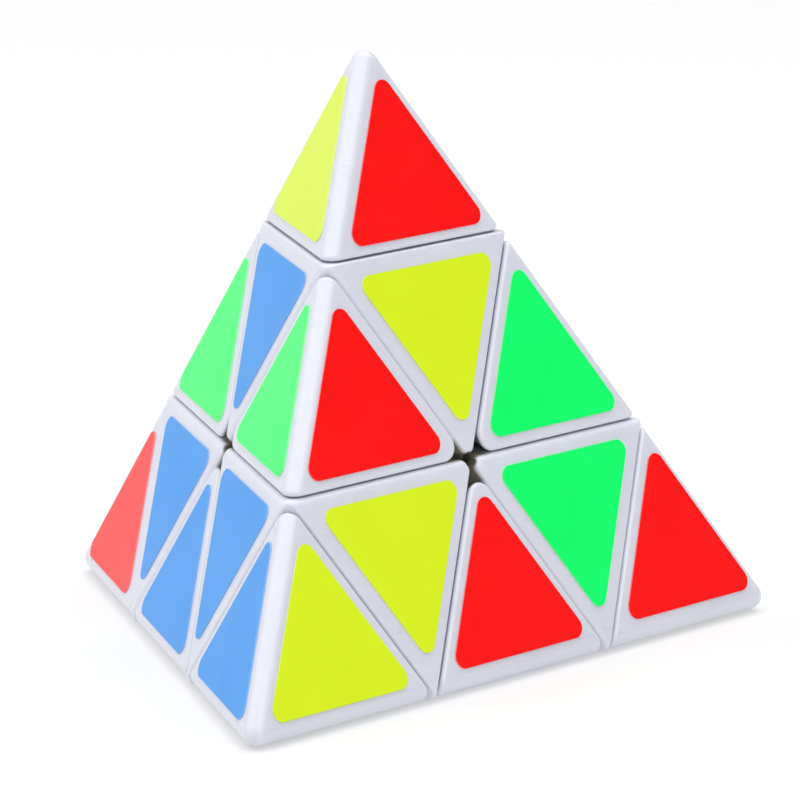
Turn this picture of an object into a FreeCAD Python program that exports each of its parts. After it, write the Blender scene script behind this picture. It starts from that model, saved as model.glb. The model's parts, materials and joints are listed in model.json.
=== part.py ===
"""A tetrahedral twisty puzzle: a core with four axes, four axials, four tips, six edges and their stickers.

The origin is the centre of the core, where the four turning axes meet, and +Z is the axis of the top
corner. Each layer is what lies inside one turning surface: outside the foot zone that surface is the flat
layer cut, and inside it a wide cone, so each edge has a foot that hooks under the axials.
"""
import FreeCAD, Part
import itertools
import math
import os

from FreeCAD import Placement, Rotation, Vector

# Outside, in mm
edge_length = 102.0  # of the sharp tetrahedron, before its corners are rounded
tip_edge = 34.95  # from a sharp corner, along an outer edge, to the end of its tip
layer_edge = 67.8  # the same, to the end of its layer
outer_round = 1.8  # along the outer edges of tips and edges
cut_round = 0.5  # where a piece meets a cut
inner_round = 2.3  # between the two cut sides of an edge
axial_round = 1.2  # along the flanks of an axial
hole_radius = 1.1  # of the opening in the middle of each side
gap = 0.2  # between pieces that turn past each other

# Stickers
sticker_side = 26.0
sticker_corner = 1.5
sticker_thickness = 0.2
tip_sticker_out = 38.05  # from the middle of the puzzle's side to the middle of the sticker
axial_sticker_out = 18.8
edge_sticker_out = 19.05
laid_off_centre = {  # by hand, to the right and upwards as the side is seen
    "sticker_tip_top_right_side": (0.4, -0.4),
    "sticker_edge_top_front_right_side": (-0.6, -0.2),
    "sticker_edge_front_right_right_side": (0.0, 0.4),
    "sticker_tip_right_right_side": (0.3, 0.6),
}

# Mechanism, as distances from the core centre
core_radius = 11.7
foot_radius = 17.0  # where the feet end and the axials begin
foot_cone_angle = 77.0  # between a layer's axis and the side of its foot zone
neck_radius = 19.0  # where an edge's shell meets its foot
boss_top = 12.0
boss_radius = 5.4

# Axle in each axial
hub_bottom = boss_top + gap
hub_radius = 6.2
shank_radius = 1.5
shank_hole_radius = 1.6
spring_floor = 17.2
spring_bore_radius = 4.3
screw_start = 4.0
washer_bottom = 25.4
washer_top = 26.2
washer_radius = 3.9
head_top = 28.6
head_radius = 2.8
cross_recess = (3.4, 0.8, 1.2)  # its length, width and depth
spring_mean_radius = 3.2
spring_wire_radius = 0.3
spring_wire_sides = 16
spring_turns = 5

# Tip stem and the groove that it snaps into
stem_bottom = 29.2
stem_radius = spring_bore_radius - 0.08
stem_bore_radius = 2.6
rim_top = 30.4
rim_radius = 4.6
groove_radius = 4.8
groove_margin = 0.3

# Walls
tip_wall = 2.0
edge_wall = 1.8
pocket_bottom = 20.5
pocket_inner_radius = 6.2
pocket_widths = ((8.2, 0.0), (8.2, 2.0), (10.5, 8.0))  # outer radius, and depth below the axial's top
plug_half_width = 1.6
plug_half_length = 5.5
plug_top = 25.0

height = edge_length * math.sqrt(2 / 3)
corner_distance = 0.75 * height
face_distance = 0.25 * height
fall = math.sqrt(2 / 3)  # height above the centre lost per mm along an outer edge
tip_cut = corner_distance - tip_edge * fall
layer_cut = corner_distance - layer_edge * fall
half_gap = gap / 2
far = 200.0

centre = Vector(0, 0, 0)
up = Vector(0, 0, 1)


def lower_corner(azimuth):
    """The direction of a base corner, seen from the core centre."""
    level = math.sqrt(8) / 3
    angle = math.radians(azimuth)
    return Vector(level * math.cos(angle), level * math.sin(angle), -1 / 3)


corners = {
    "top": up,
    "front": lower_corner(-90),
    "right": lower_corner(30),
    "left": lower_corner(150),
}
side_opposite = {"left": "right_side", "right": "left_side", "front": "back_side", "top": "base_side"}


def others(*names):
    return [name for name in corners if name not in names]


def convex(planes):
    """The solid behind every plane, each a pair of an outward normal and its distance from the centre."""
    points = []
    for (n1, d1), (n2, d2), (n3, d3) in itertools.combinations(planes, 3):
        volume = n1.dot(n2.cross(n3))
        if abs(volume) < 1e-6:
            continue
        point = (n2.cross(n3) * d1 + n3.cross(n1) * d2 + n1.cross(n2) * d3) * (1 / volume)
        inside = all(n.dot(point) <= d + 1e-6 for n, d in planes)
        if inside and all((point - other).Length > 1e-4 for other in points):
            points.append(point)
    faces = []
    for n, d in planes:
        outline = [point for point in points if abs(n.dot(point) - d) < 1e-5]
        middle = sum(outline, Vector()) * (1 / len(outline))
        across = (outline[0] - middle).normalize()
        along = n.cross(across)
        outline.sort(key=lambda p: math.atan2((p - middle).dot(along), (p - middle).dot(across)))
        faces.append(Part.Face(Part.makePolygon(outline + outline[:1])))
    return Part.Solid(Part.Shell(faces))


def inset(planes, depth):
    return convex([(n, d - depth) for n, d in planes])


def lies_on(edge, plane):
    n, d = plane
    ends = (edge.valueAt(edge.FirstParameter), edge.valueAt(edge.LastParameter))
    return all(abs(n.dot(end) - d) < 1e-5 for end in ends)


def sharp_edges(solid):
    found = []
    for edge in solid.Edges:
        point = edge.valueAt((edge.FirstParameter + edge.LastParameter) / 2)
        sides = solid.ancestorsOfType(edge, Part.Face)
        normals = [side.normalAt(*side.Surface.parameter(point)) for side in sides]
        if len(normals) == 2 and normals[0].getAngle(normals[1]) > 0.1:
            found.append(edge)
    return found


def filleted(solid, radius, edges):
    return solid.makeFillet(radius, edges).Solids[0]


def turned(profile, axis):
    """A solid of revolution about an axis through the centre, from points of radius and height."""
    points = [Vector(radius, 0, level) for radius, level in profile]
    face = Part.Face(Part.makePolygon(points + points[:1]))
    solid = face.revolve(centre, up, 360)
    solid.Placement = Placement(centre, Rotation(up, axis))
    return solid


def ring(inner, outer, bottom, top, axis):
    return turned([(inner, bottom), (outer, bottom), (outer, top), (inner, top)], axis)


def rod(radius, bottom, top, axis):
    return ring(0, radius, bottom, top, axis)


def cone_zone(axis, clearance):
    """What lies inside a layer's foot cone, drawn back from it by the clearance."""
    angle = math.radians(foot_cone_angle)
    start = clearance / math.sin(angle)
    width = far * math.sin(angle)
    rise = start + far * math.cos(angle)
    return turned([(0, start), (width, rise), (width, far), (0, far)], axis)


def layer_side(axis):
    """The cut that bounds a layer, as seen from inside the layer."""
    return axis * -1, -(layer_cut + half_gap)


def outer_faces(*owners):
    return [(corners[name] * -1, face_distance) for name in others(*owners)]


def core():
    body = Part.makeSphere(core_radius)
    for axis in corners.values():
        body = body.fuse(rod(boss_radius, boss_top - boss_radius, boss_top, axis))
    for axis in corners.values():
        body = body.cut(rod(shank_radius, screw_start, far, axis))
    return body


def screw(axis):
    length, width, depth = cross_recess
    body = rod(shank_radius, screw_start, washer_top, axis)
    body = body.fuse(rod(head_radius, washer_top, head_top, axis)).removeSplitter()
    for across, along in ((length, width), (width, length)):
        corner = Vector(-across / 2, -along / 2, head_top - depth)
        slot = Part.makeBox(across, along, 2 * depth, corner)
        slot.Placement = Placement(centre, Rotation(up, axis)).multiply(slot.Placement)
        body = body.cut(slot)
    return body


def washer(axis):
    return ring(shank_hole_radius, washer_radius, washer_bottom, washer_top, axis)


def spring(axis):
    bottom = spring_floor + 2 * spring_wire_radius
    top = washer_bottom - 2 * spring_wire_radius
    pitch = (top - bottom) / spring_turns
    path = Part.makeHelix(pitch, top - bottom, spring_mean_radius)
    section = []
    for side in range(spring_wire_sides):
        turn = 2 * math.pi * side / spring_wire_sides
        across = Vector(math.cos(turn), 0, math.sin(turn)) * spring_wire_radius
        section.append(Vector(spring_mean_radius, 0, 0) + across)
    wire = Part.makePolygon(section + section[:1])
    coil = Part.Wire(path).makePipeShell([wire], True, True)
    coil.translate(Vector(0, 0, bottom))
    coil.Placement = Placement(centre, Rotation(up, axis)).multiply(coil.Placement)
    return coil


def axial(name):
    """The turning centre of a layer: a rounded octahedron on a hub, sprung onto the core."""
    axis = corners[name]
    top = tip_cut - half_gap
    planes = [(axis, top + 2 * axial_round), layer_side(axis)] + outer_faces(name)
    planes += [(corners[other], layer_cut - half_gap) for other in others(name)]
    body = inset(planes, axial_round).makeOffsetShape(axial_round, 1e-4, join=0)
    body = body.cut(rod(far, top, far, axis))
    body = filleted(body, cut_round, [edge for edge in body.Edges if lies_on(edge, (axis, top))])
    for other in others(name):
        body = body.cut(rod(hole_radius, foot_radius, far, corners[other] * -1))
    body = body.cut(Part.makeSphere(foot_radius + half_gap))
    body = body.fuse(rod(hub_radius, hub_bottom, pocket_bottom, axis))
    pocket = [(pocket_inner_radius, top + 1)]
    pocket += [(pocket_widths[0][0], top + 1)]
    pocket += [(radius, top - depth) for radius, depth in pocket_widths]
    pocket += [(pocket_widths[-1][0], pocket_bottom), (pocket_inner_radius, pocket_bottom)]
    body = body.cut(turned(pocket, axis))
    body = body.cut(rod(shank_hole_radius, 0, far, axis))
    body = body.cut(rod(spring_bore_radius, spring_floor, far, axis))
    return body.cut(rod(groove_radius, stem_bottom - groove_margin, rim_top + groove_margin, axis))


def tip(name):
    """A hollow corner with a tube for a stem, whose rim snaps into the axial below it."""
    axis = corners[name]
    bottom = tip_cut + half_gap
    underside = (axis * -1, -bottom)
    planes = [underside] + outer_faces(name)
    body = convex(planes)
    body = filleted(body, outer_round, [edge for edge in body.Edges if not lies_on(edge, underside)])
    body = filleted(body, cut_round, sharp_edges(body))
    body = body.fuse(rod(stem_radius, stem_bottom, bottom + tip_wall, axis))
    body = body.fuse(rod(rim_radius, stem_bottom, rim_top, axis))
    body = body.cut(inset(planes, tip_wall))
    return body.cut(rod(stem_bore_radius, 0, bottom + 2 * tip_wall, axis)).removeSplitter()


def edge_parts(first, second):
    """The hollow outer shell of an edge, and the foot that plugs into it and holds it in the puzzle."""
    near = (corners[first], corners[second])
    cuts = [layer_side(axis) for axis in near]
    outside = outer_faces(first, second)
    planes = cuts + outside
    whole = convex(planes)
    for radius, pair in ((outer_round, outside), (inner_round, cuts)):
        between = [edge for edge in whole.Edges if all(lies_on(edge, plane) for plane in pair)]
        whole = filleted(whole, radius, between)
    whole = filleted(whole, cut_round, sharp_edges(whole))
    middle = (near[0] + near[1]).normalize()
    along = (near[0] - near[1]).normalize()
    frame = Rotation(along, Vector(), middle, "ZXY")
    low = Vector(-plug_half_width, -plug_half_length, foot_radius)
    plug = Part.makeBox(2 * plug_half_width, 2 * plug_half_length, plug_top - foot_radius, low)
    plug.Placement = Placement(centre, frame).multiply(plug.Placement)
    hollow = inset(planes, edge_wall).cut(Part.makeSphere(neck_radius + edge_wall))
    shell = whole.cut(Part.makeSphere(neck_radius)).cut(plug).cut(hollow)
    zone = Part.makeSphere(foot_radius - half_gap).cut(Part.makeSphere(core_radius + gap))
    for axis in near:
        zone = zone.common(cone_zone(axis, half_gap))
    for name in others(first, second):
        zone = zone.cut(cone_zone(corners[name], -half_gap))
    neck = whole.common(Part.makeSphere(neck_radius)).cut(Part.makeSphere(core_radius + gap))
    foot = zone.fuse(neck).fuse(plug).removeSplitter()
    return shell, foot


def sticker(middle, outward, point):
    """A flat triangle with rounded corners, lying on a face with one corner towards a point."""
    reach = sticker_side / math.sqrt(3)
    ends = []
    for turn in (0, 120, 240):
        ends.append(middle + Rotation(outward, turn).multVec(point) * reach)
    prism = Part.Face(Part.makePolygon(ends + ends[:1])).extrude(outward * sticker_thickness)
    upright = [edge for edge in prism.Edges if abs(edge.tangentAt(edge.FirstParameter).dot(outward)) > 0.99]
    return prism.makeFillet(sticker_corner, upright)


def stickers_of_side(opposite):
    """The nine stickers of one side, by name: three tips, three axials and three edges."""
    outward = corners[opposite] * -1
    side = side_opposite[opposite]
    side_middle = outward * face_distance
    towards = {}
    for name in others(opposite):
        towards[name] = (corners[name] - outward * corners[name].dot(outward)).normalize()
    places = {}
    for name, point in towards.items():
        places["sticker_tip_%s_%s" % (name, side)] = (point * tip_sticker_out, point)
        places["sticker_axial_%s_%s" % (name, side)] = (point * axial_sticker_out, point * -1)
    for first, second in itertools.combinations(towards, 2):
        point = sum((towards[name] for name in towards if name not in (first, second)), Vector())
        places["sticker_edge_%s_%s_%s" % (first, second, side)] = (point * -edge_sticker_out, point)
    found = {}
    for name, (place, point) in places.items():
        right, upwards = laid_off_centre.get(name, (0, 0))
        if right or upwards:
            place = place + towards["top"].cross(outward) * right + towards["top"] * upwards
        found[name] = sticker(side_middle + place, outward, point)
    return found


def main():
    nodes = {"core": core()}
    for name, make in (("axis_screws", screw), ("axis_washers", washer), ("axis_springs", spring)):
        nodes[name] = Part.Compound([make(axis) for axis in corners.values()])
    for name in corners:
        nodes["axial_" + name] = axial(name)
        nodes["tip_" + name] = tip(name)
        nodes.update(stickers_of_side(name))
    for first, second in itertools.combinations(corners, 2):
        shell, foot = edge_parts(first, second)
        nodes["edge_shell_%s_%s" % (first, second)] = shell
        nodes["edge_foot_%s_%s" % (first, second)] = foot
    os.makedirs("parts", exist_ok=True)
    for name, shape in nodes.items():
        shape.exportStep("parts/%s.step" % name)
        volumes = [round(solid.Volume, 2) for solid in shape.Solids]
        print(name, "solids", len(volumes), "mm3", volumes, "valid", shape.isValid())


main()
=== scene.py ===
"""Looks for the pyramid puzzle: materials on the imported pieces, a pale floor, soft lights and a camera."""

import json
import math
import bpy
from mathutils import Matrix, Vector


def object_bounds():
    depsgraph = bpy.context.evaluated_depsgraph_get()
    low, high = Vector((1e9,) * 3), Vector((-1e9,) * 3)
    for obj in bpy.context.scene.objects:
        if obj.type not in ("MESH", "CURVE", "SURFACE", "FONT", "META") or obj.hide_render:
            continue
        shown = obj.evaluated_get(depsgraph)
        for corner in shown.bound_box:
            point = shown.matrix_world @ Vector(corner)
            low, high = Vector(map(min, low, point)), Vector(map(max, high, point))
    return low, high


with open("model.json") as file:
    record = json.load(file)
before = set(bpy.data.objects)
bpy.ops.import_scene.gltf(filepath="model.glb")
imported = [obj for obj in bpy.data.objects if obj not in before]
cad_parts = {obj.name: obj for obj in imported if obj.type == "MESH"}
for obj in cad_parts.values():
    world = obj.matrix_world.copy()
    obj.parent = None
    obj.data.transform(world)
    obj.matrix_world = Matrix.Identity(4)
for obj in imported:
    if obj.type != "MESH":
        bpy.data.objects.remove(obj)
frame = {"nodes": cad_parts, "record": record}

cad_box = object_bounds()
table_level = cad_box[0].z

MM = 0.001
MICRON = 0.001 * MM

# Painted shade in the opening in the middle of each side: its walls are given a darker olive grey where they
# lie in shade
STICKER_THICKNESS = 0.2 * MM
SIDE_DISTANCE = -table_level - STICKER_THICKNESS  # from the core centre to the plastic of each side
PAINTED_SHADE_REACH = 3.2 * MM  # from the middle of a side to where the painted shade starts to fade
PAINTED_SHADE_FADE = 0.8 * MM
PAINTED_SHADE_TOP = 0.3 * MM  # how deep below the side it begins
PAINTED_SHADE_FULL = 0.8 * MM  # how deep below the side it has its full colour

# The floor's own light, in metres from the puzzle and in strength; far off it meets the world's grey
GLOW_REACH = 0.6
GLOW_END = 5.0
GLOW_NEAR = 0.37
GLOW_FAR = 0.105

# Sockets of a Mix node that mixes colours, whose names repeat
MIX_SHARE = 0
MIX_FIRST = 6
MIX_SECOND = 7
MIX_RESULT = 2

# The four turning axes, from the core centre towards the corners
LEVEL = math.sqrt(8) / 3
AXES = [(0.0, 0.0, 1.0)]
for azimuth in (-90, 30, 150):
    around = math.radians(azimuth)
    AXES.append((LEVEL * math.cos(around), LEVEL * math.sin(around), -1 / 3))


def linear(red, green, blue):
    """An sRGB colour of 0 to 255 as linear light."""
    light = []
    for value in (red / 255, green / 255, blue / 255):
        light.append(value / 12.92 if value < 0.04 else ((value + 0.055) / 1.055) ** 2.4)
    return tuple(light)


def colour_of(light):
    """Linear light as a colour with full opacity."""
    return (*light, 1.0)


class Nodes:
    """Short calls for building one material's node tree."""

    def __init__(self, name):
        self.material = bpy.data.materials.new(name)
        self.material.use_nodes = True
        self.tree = self.material.node_tree
        self.shader = self.tree.nodes["Principled BSDF"]
        self.place = self.tree.nodes.new("ShaderNodeTexCoord").outputs["Object"]

    def put(self, socket, value):
        if isinstance(value, bpy.types.NodeSocket):
            self.tree.links.new(value, socket)
        else:
            socket.default_value = value

    def math(self, operation, first, second=0.0):
        node = self.tree.nodes.new("ShaderNodeMath")
        node.operation = operation
        self.put(node.inputs[0], first)
        self.put(node.inputs[1], second)
        return node.outputs["Value"]

    def measure(self, operation, first, second=(0.0, 0.0, 0.0)):
        """The length of a vector, or the dot product of two."""
        node = self.tree.nodes.new("ShaderNodeVectorMath")
        node.operation = operation
        self.put(node.inputs[0], first)
        self.put(node.inputs[1], second)
        return node.outputs["Value"]

    def noise(self, size, detail, roughness=0.5, place=None):
        """Smooth noise of 0 to 1 whose features are about size metres across."""
        node = self.tree.nodes.new("ShaderNodeTexNoise")
        self.put(node.inputs["Vector"], place or self.place)
        self.put(node.inputs["Scale"], 1.0 / size)
        self.put(node.inputs["Detail"], detail)
        self.put(node.inputs["Roughness"], roughness)
        return node.outputs["Fac"]

    def spread(self, value, low, high, new_low, new_high):
        """The value with its stretch from low to high mapped onto new_low to new_high, and held beyond."""
        node = self.tree.nodes.new("ShaderNodeMapRange")
        self.put(node.inputs["Value"], value)
        self.put(node.inputs["From Min"], low)
        self.put(node.inputs["From Max"], high)
        self.put(node.inputs["To Min"], new_low)
        self.put(node.inputs["To Max"], new_high)
        return node.outputs["Result"]

    def stretched(self, scale, turn=(0.0, 0.0, 0.0)):
        """The place on the piece, scaled and turned, so that noise read there becomes streaks."""
        node = self.tree.nodes.new("ShaderNodeMapping")
        self.put(node.inputs["Vector"], self.place)
        self.put(node.inputs["Scale"], scale)
        self.put(node.inputs["Rotation"], turn)
        return node.outputs["Vector"]

    def blend(self, share, first, second):
        """The first colour where share is 0, and the second where it is 1."""
        node = self.tree.nodes.new("ShaderNodeMix")
        node.data_type = "RGBA"
        self.put(node.inputs[MIX_SHARE], share)
        self.put(node.inputs[MIX_FIRST], first)
        self.put(node.inputs[MIX_SECOND], second)
        return node.outputs[MIX_RESULT]

    def roundness(self):
        """0 on every flat that faces along a turning axis, and 1 on the rounded edges between them."""
        space = self.tree.nodes.new("ShaderNodeVectorTransform")
        space.vector_type = "NORMAL"
        space.convert_from = "WORLD"
        space.convert_to = "OBJECT"
        geometry = self.tree.nodes.new("ShaderNodeNewGeometry")
        self.put(space.inputs["Vector"], geometry.outputs["True Normal"])
        nearest = 0.0
        for axis in AXES:
            along = self.math("ABSOLUTE", self.measure("DOT_PRODUCT", space.outputs["Vector"], axis))
            nearest = self.math("MAXIMUM", along, nearest)
        return self.spread(nearest, 0.999, 0.93, 0.0, 1.0)

    def painted_shade_in_openings(self):
        """1 near the turning axes and below the sides, on the openings' walls where the painted shade goes,
        and 0 elsewhere outside.
        """
        squared = self.math("POWER", self.measure("LENGTH", self.place), 2.0)
        mask = 0.0
        for axis in AXES:
            outward = self.math("ABSOLUTE", self.measure("DOT_PRODUCT", self.place, axis))
            across = self.math("SUBTRACT", squared, self.math("POWER", outward, 2.0))
            off_axis = self.math("SQRT", across)
            near = self.spread(off_axis, PAINTED_SHADE_REACH, PAINTED_SHADE_REACH + PAINTED_SHADE_FADE, 1.0, 0.0)
            deep = self.spread(outward, SIDE_DISTANCE - PAINTED_SHADE_TOP, SIDE_DISTANCE - PAINTED_SHADE_FULL, 0.0, 1.0)
            mask = self.math("MAXIMUM", self.math("MULTIPLY", near, deep), mask)
        return mask

    def bump(self, height, depth):
        node = self.tree.nodes.new("ShaderNodeBump")
        self.put(node.inputs["Height"], height)
        self.put(node.inputs["Distance"], depth)
        self.put(node.inputs["Strength"], 1.0)
        self.put(self.shader.inputs["Normal"], node.outputs["Normal"])

    def look(self, **values):
        for name, value in values.items():
            self.put(self.shader.inputs[name.replace("_", " ")], value)
        return self.material


def body_plastic():
    """Glossy white moulded plastic: faint orange peel, handled edges, and painted shade, a darker olive grey,
    on the walls of the openings.
    """
    made = Nodes("body_plastic")
    cool = colour_of(linear(211, 213, 225))
    pale = colour_of(linear(215, 217, 228))
    dust = colour_of(linear(196, 197, 208))
    handled = colour_of(linear(221, 223, 233))
    # Painted shade: the olive grey that stands for the shade on the walls of the openings
    painted_opening_shade = colour_of(linear(122, 118, 104))

    clouds = made.noise(14 * MM, 3.0)
    specks = made.noise(1.1 * MM, 2.0)
    scuffs = made.noise(12 * MM, 2.0, 0.5, made.stretched((1.0, 0.4, 1.4), (0.4, 0.7, 0.2)))
    rounded = made.roundness()

    shade = made.blend(made.spread(clouds, 0.3, 0.7, 0.0, 1.0), cool, pale)
    shade = made.blend(made.spread(specks, 0.62, 0.78, 0.0, 0.05), shade, dust)
    shade = made.blend(made.math("MULTIPLY", rounded, 0.5), shade, handled)
    # Painted shade: darkens the openings' walls below each side, where they lie in shade
    shade = made.blend(made.painted_shade_in_openings(), shade, painted_opening_shade)

    scuffed = made.spread(scuffs, 0.3, 0.8, 0.26, 0.33)
    rough = made.math("SUBTRACT", scuffed, made.math("MULTIPLY", rounded, 0.04))
    ripples = made.math("MULTIPLY", made.noise(0.25 * MM, 1.0), 0.25)
    made.bump(made.math("ADD", made.noise(1.6 * MM, 1.0), ripples), 3 * MICRON)
    return made.look(
        Base_Color=shade,
        Roughness=rough,
        Subsurface_Weight=0.3,
        Subsurface_Radius=(1.0, 0.95, 0.85),
        Subsurface_Scale=0.8 * MM,
    )


def inner_plastic():
    """Olive-grey mechanism plastic with a fine mould texture and a trace of lubricant."""
    made = Nodes("inner_plastic")
    clouds = made.noise(6 * MM, 3.0)
    grain = made.noise(0.35 * MM, 2.0)
    shade = made.blend(clouds, colour_of(linear(160, 156, 141)), colour_of(linear(172, 168, 153)))
    rough = made.spread(clouds, 0.3, 0.7, 0.38, 0.62)
    made.bump(grain, 20 * MICRON)
    return made.look(Base_Color=shade, Roughness=rough)


def steel(name, colour, rough_low, rough_high, lines):
    """Bright metal with fine drawing or turning lines."""
    made = Nodes(name)
    drawn = made.noise(0.6 * MM, 3.0, 0.6, made.stretched(lines))
    clouds = made.noise(2 * MM, 3.0)
    darker = tuple(value * 0.8 for value in colour)
    shade = made.blend(clouds, colour_of(darker), colour_of(colour))
    rough = made.spread(drawn, 0.3, 0.7, rough_low, rough_high)
    made.bump(drawn, 6 * MICRON)
    return made.look(Base_Color=shade, Roughness=rough, Metallic=1.0)


def sticker(name, colour, deep):
    """Flat coloured vinyl: a faint print mottle, fine film grain, light scuffs and a paler cut edge."""
    made = Nodes(name)
    mottle = made.noise(9 * MM, 3.0)
    grain = made.noise(0.4 * MM, 2.0)
    scuffs = made.noise(10 * MM, 2.0, 0.5, made.stretched((1.0, 0.3, 0.8), (0.3, 0.5, 0.9)))
    edge = tuple(0.55 * value + 0.45 for value in colour)

    shade = made.blend(made.spread(mottle, 0.3, 0.7, 0.0, 1.0), colour_of(deep), colour_of(colour))
    shade = made.blend(made.math("MULTIPLY", made.roundness(), 0.7), shade, colour_of(edge))
    rough = made.spread(scuffs, 0.25, 0.85, 0.30, 0.38)
    made.bump(grain, 0.6 * MICRON)
    return made.look(Base_Color=shade, Roughness=rough, Specular_IOR_Level=0.35)


def floor_material():
    """Pale matte paper, lit from below as on a light table: most around the puzzle, and less far off."""
    made = Nodes("floor")
    fibres = made.noise(3 * MM, 4.0)
    clouds = made.noise(0.3, 2.0)
    shade = made.blend(clouds, (0.495, 0.495, 0.50, 1.0), (0.505, 0.505, 0.51, 1.0))
    away = made.measure("LENGTH", made.place)
    glow = made.spread(away, GLOW_REACH, GLOW_END, GLOW_NEAR, GLOW_FAR)
    made.bump(fibres, 20 * MICRON)
    return made.look(
        Base_Color=shade,
        Roughness=0.9,
        Specular_IOR_Level=0.2,
        Emission_Color=(1.0, 1.0, 1.0, 1.0),
        Emission_Strength=glow,
    )


materials = {
    "body_plastic": body_plastic(),
    "inner_plastic": inner_plastic(),
    "screw_steel": steel("screw_steel", linear(200, 200, 203), 0.12, 0.28, (1.0, 1.0, 4.0)),
    "washer_steel": steel("washer_steel", linear(185, 185, 188), 0.22, 0.4, (4.0, 4.0, 1.0)),
    "spring_steel": steel("spring_steel", linear(165, 165, 170), 0.2, 0.35, (1.0, 3.0, 1.0)),
    "sticker_red": sticker("sticker_red", linear(253, 3, 0), linear(250, 2, 0)),
    "sticker_yellow": sticker("sticker_yellow", linear(217, 240, 30), linear(214, 237, 26)),
    "sticker_green": sticker("sticker_green", linear(2, 253, 110), linear(1, 250, 105)),
    "sticker_blue": sticker("sticker_blue", linear(0, 146, 233), linear(0, 142, 230)),
}
slot_of = {part["node"]: part["material_slot"] for part in frame["record"]["subparts"]}
for name, node in frame["nodes"].items():
    node.data.materials.clear()
    node.data.materials.append(materials[slot_of[name]])

# Floor
HALF_FLOOR = 6.0
FLOOR_CLEARANCE = 0.1 * MM
floor_corners = [
    (-HALF_FLOOR, -HALF_FLOOR, 0),
    (HALF_FLOOR, -HALF_FLOOR, 0),
    (HALF_FLOOR, HALF_FLOOR, 0),
    (-HALF_FLOOR, HALF_FLOOR, 0),
]
floor_mesh = bpy.data.meshes.new("floor")
floor_mesh.from_pydata(floor_corners, [], [(0, 1, 2, 3)])
floor_mesh.materials.append(floor_material())
floor = bpy.data.objects.new("floor", floor_mesh)
floor.location.z = table_level - FLOOR_CLEARANCE
bpy.context.scene.collection.objects.link(floor)


def direction(azimuth, elevation):
    """The way out from the puzzle at an azimuth, 0 in front and growing to the right, and an elevation.

    Both angles are in radians.
    """
    level = math.cos(elevation)
    return Vector((math.sin(azimuth) * level, -math.cos(azimuth) * level, math.sin(elevation)))


# Lights: each soft box by its azimuth and elevation in degrees, distance, size, aim and watts
LIGHTS = [
    ("top_box", 0, 84, 1.3, (1.6, 1.6), (0.0, 0.05, 0.0), 13.1),
    ("right_box", 44, 34, 1.3, (1.2, 1.2), (0.0, 0.0, 0.0), 6.65),
    ("left_box", -62, 30, 1.3, (1.2, 1.2), (0.0, 0.0, 0.0), 6.85),
    ("back_box", 172, 58, 1.5, (1.2, 0.9), (0.0, 0.55, 0.0), 8.4),
    ("back_card", -132, 10, 1.4, (1.4, 0.9), (0.0, 0.0, 0.1), 3.1),
]
for name, azimuth, elevation, distance, size, aim, watts in LIGHTS:
    place = direction(math.radians(azimuth), math.radians(elevation)) * distance
    light = bpy.data.lights.new(name, "AREA")
    light.shape = "RECTANGLE"
    light.size, light.size_y = size
    light.energy = watts
    lamp = bpy.data.objects.new(name, light)
    lamp.location = place
    lamp.rotation_euler = (place - Vector(aim)).to_track_quat("Z", "Y").to_euler()
    bpy.context.scene.collection.objects.link(lamp)

world = bpy.data.worlds.new("world")
world.use_nodes = True
background = world.node_tree.nodes["Background"]
background.inputs["Color"].default_value = (1.0, 1.0, 1.0, 1.0)
background.inputs["Strength"].default_value = 0.21
bpy.context.scene.world = world
bpy.context.scene.view_settings.view_transform = "Standard"

# Camera: a little above the table, a little right of the front corner, and turned slightly about its view
AZIMUTH = math.radians(14.74)
ELEVATION = math.radians(12.54)
ROLL = math.radians(-0.37)
DISTANCE = 0.7325
AIM_RIGHT = 4.47 * MM
AIM_UP = 11.53 * MM
SENSOR = 36.0
LENS = 246.6

back = direction(AZIMUTH, ELEVATION)
level_right = Vector((0, 0, 1)).cross(back).normalized()
level_up = back.cross(level_right)
camera_right = level_right * math.cos(ROLL) + level_up * math.sin(ROLL)
camera_up = level_up * math.cos(ROLL) - level_right * math.sin(ROLL)
camera_data = bpy.data.cameras.new("camera")
camera_data.sensor_width = SENSOR
camera_data.lens = LENS
camera_data.clip_start = 0.05
camera_data.clip_end = 50.0
camera = bpy.data.objects.new("camera", camera_data)
camera.location = back * DISTANCE + camera_right * AIM_RIGHT + camera_up * AIM_UP
camera.rotation_euler = Matrix((camera_right, camera_up, back)).transposed().to_euler()
bpy.context.scene.collection.objects.link(camera)
bpy.context.scene.camera = camera
